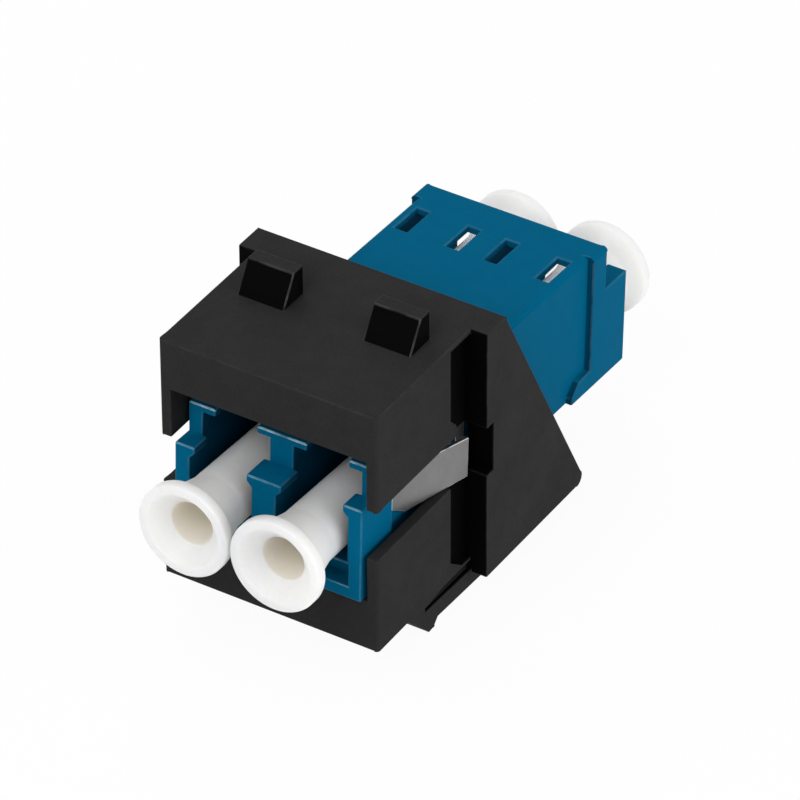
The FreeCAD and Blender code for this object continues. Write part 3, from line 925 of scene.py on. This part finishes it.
def camera(look):
    """The camera, from its angles, the point that it looks at and its distance."""
    turn, rise, roll = look.azimuth, look.elevation, look.roll
    right = Vector((math.cos(turn), math.sin(turn), 0.0))
    forward = Vector((-math.sin(turn) * math.cos(rise), math.cos(turn) * math.cos(rise),
                      -math.sin(rise)))
    up = right.cross(forward)
    right, up = (math.cos(roll) * right + math.sin(roll) * up,
                 math.cos(roll) * up - math.sin(roll) * right)
    data = bpy.data.cameras.new("Camera")
    data.lens = look.lens
    data.sensor_width = 36.0
    data.clip_start, data.clip_end = 0.01, 10.0
    made = bpy.data.objects.new("Camera", data)
    bpy.context.collection.objects.link(made)
    place = Vector(look.aim) - forward * look.distance
    basis = Matrix((right, up, -forward)).transposed().to_4x4()
    made.matrix_world = Matrix.Translation(place) @ basis
    bpy.context.scene.camera = made
    return made


class FIBRE_OT_stage(bpy.types.Operator):
    """Builds the pale floor, the soft lamps and the camera"""
    bl_idname = "fibre_adapter.stage"
    bl_label = "Build Stage"

    def execute(self, context):
        look = context.scene.fibre_stage
        low, high = cad_box
        work = bmesh.new()
        bmesh.ops.create_grid(work, x_segments=8, y_segments=8, size=FLOOR_REACH)
        bmesh.ops.translate(work, verts=work.verts, vec=(0, 0, low.z - FLOOR_GAP))
        mesh = bpy.data.meshes.new("floor")
        work.to_mesh(mesh)
        work.free()
        mesh.materials.append(stage_material(look))
        floor = bpy.data.objects.new("floor", mesh)
        context.collection.objects.link(floor)
        middle = (Vector(low) + Vector(high)) / 2
        lamp("Key Light", middle, KEY_LAMP, look.key_power)
        lamp("Side Light", middle, SIDE_LAMP, look.side_power)
        lamp("Front Light", middle, FRONT_LAMP, look.front_power)
        context.scene.world = studio_world(look)
        context.scene.view_settings.view_transform = "Standard"
        camera(look)
        return {"FINISHED"}


class FIBRE_PT_sidebar(bpy.types.Panel):
    """Lists the builders and their settings"""
    bl_idname = "FIBRE_PT_sidebar"
    bl_label = "Fibre Adapter"
    bl_space_type = "VIEW_3D"
    bl_region_type = "UI"
    bl_category = "Fibre Adapter"

    def draw(self, context):
        for operator, holder in BUILDERS:
            settings = getattr(context.scene, holder)
            column = self.layout.box().column(align=True)
            for name in settings.bl_rna.properties.keys():
                if name not in ("rna_type", "name"):
                    column.prop(settings, name)
            column.operator(operator.bl_idname)


# ---------------------------------------------------------------- registration

BUILDERS = [
    (FIBRE_OT_housing, "fibre_housing"),
    (FIBRE_OT_adapter, "fibre_adapter"),
    (FIBRE_OT_clip, "fibre_clip"),
    (FIBRE_OT_sleeves, "fibre_sleeve"),
    (FIBRE_OT_caps, "fibre_cap"),
    (FIBRE_OT_stage, "fibre_stage"),
]
SETTINGS = {
    "fibre_housing": HousingSettings, "fibre_adapter": AdapterSettings,
    "fibre_clip": ClipSettings, "fibre_sleeve": SleeveSettings,
    "fibre_cap": CapSettings, "fibre_stage": StageSettings,
}


def register():
    """Registers the settings, the operators and the panel."""
    for holder, group in SETTINGS.items():
        bpy.utils.register_class(group)
        setattr(bpy.types.Scene, holder, PointerProperty(type=group))
    for operator, _ in BUILDERS:
        bpy.utils.register_class(operator)
    bpy.utils.register_class(FIBRE_PT_sidebar)


def unregister():
    """Takes everything out again."""
    bpy.utils.unregister_class(FIBRE_PT_sidebar)
    for operator, _ in reversed(BUILDERS):
        bpy.utils.unregister_class(operator)
    for holder, group in SETTINGS.items():
        delattr(bpy.types.Scene, holder)
        bpy.utils.unregister_class(group)


def main():
    """Builds every piece and the stage."""
    register()
    bpy.ops.fibre_adapter.housing()
    bpy.ops.fibre_adapter.adapter()
    bpy.ops.fibre_adapter.clip()
    bpy.ops.fibre_adapter.sleeves()
    bpy.ops.fibre_adapter.caps()
    bpy.ops.fibre_adapter.stage()


if __name__ == "__main__":
    main()
